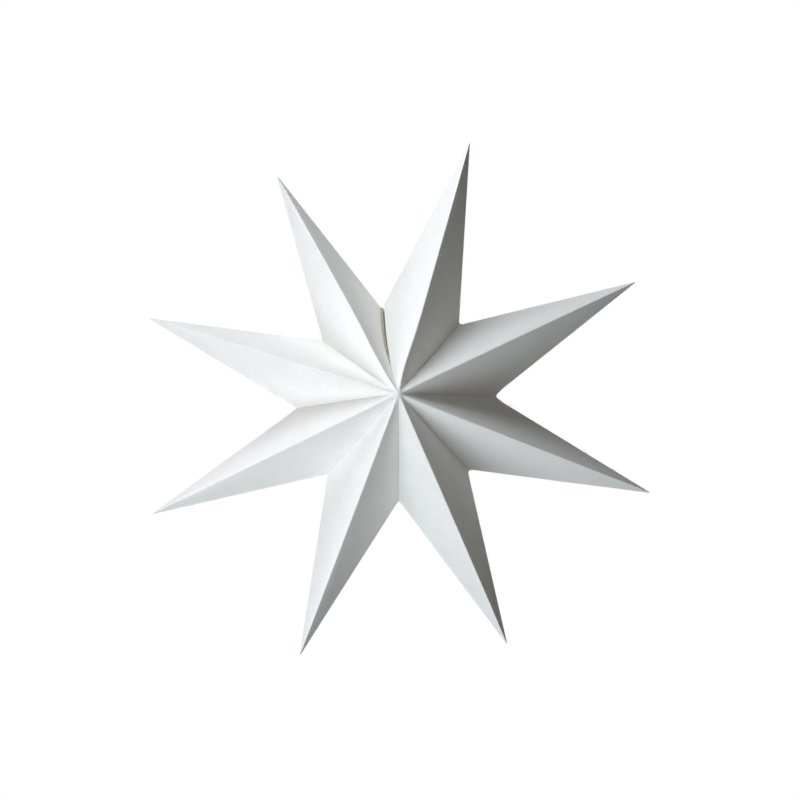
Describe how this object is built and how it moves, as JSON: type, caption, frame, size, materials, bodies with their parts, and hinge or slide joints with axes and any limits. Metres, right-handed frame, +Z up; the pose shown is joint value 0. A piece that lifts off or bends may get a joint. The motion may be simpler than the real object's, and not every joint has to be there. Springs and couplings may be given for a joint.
{
  "type": "paper star ornament",
  "caption": "Fold-out paper star: hollow four-sided paper points joined along their valleys and closed at one seam, made to hang from the top of the seam.",
  "frame": {"origin": "centre of the star, on the line between its two apexes and in its middle plane", "axes": "+Z up through the closing seam it hangs from, -Y towards the front apex, +X to the right seen from the front"},
  "size_m": [0.3784, 0.156, 0.3769],
  "materials": {
    "paper": "matte, uncoated",
    "tape": "matte foam tape"
  },
  "bodies": {
    "root": {"point_1": "paper", "point_2": "paper", "point_3": "paper", "point_4": "paper", "point_5": "paper", "point_6": "paper", "point_7": "paper", "point_8": "paper", "closing_tape_front": "tape", "closing_tape_back": "tape"}
  },
  "joints": []
}
